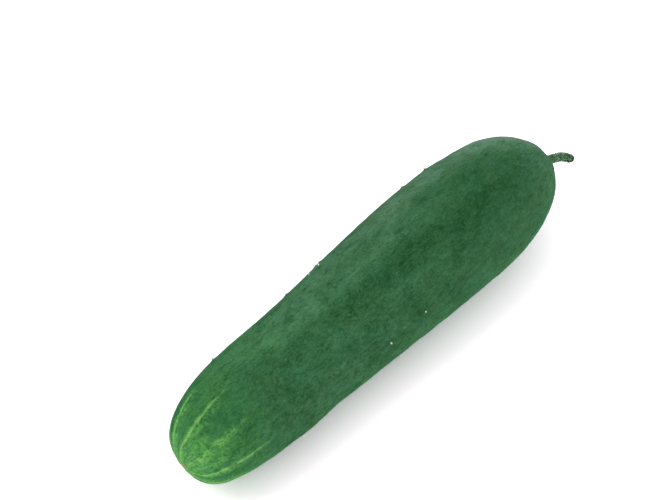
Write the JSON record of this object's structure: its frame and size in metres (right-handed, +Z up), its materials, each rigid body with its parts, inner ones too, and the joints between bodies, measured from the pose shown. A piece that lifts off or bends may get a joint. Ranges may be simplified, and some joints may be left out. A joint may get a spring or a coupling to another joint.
{
  "type": "green cucumber",
  "caption": "Whole green slicing cucumber lying on its side, with soft ridges, small spines, a blunt streaked blossom end and a short cut stem.",
  "frame": {"origin": "middle of the small flat on its underside that it rests on", "axes": "+X along the fruit towards its stem end, +Y across it, +Z up from the surface it lies on"},
  "size_m": [0.2374, 0.0579, 0.0568],
  "materials": {
    "skin": "waxy dark green skin with a satin sheen",
    "stem": "rough green stalk with short prickles"
  },
  "bodies": {
    "root": {"fruit": "skin", "stem": "stem"}
  },
  "joints": []
}
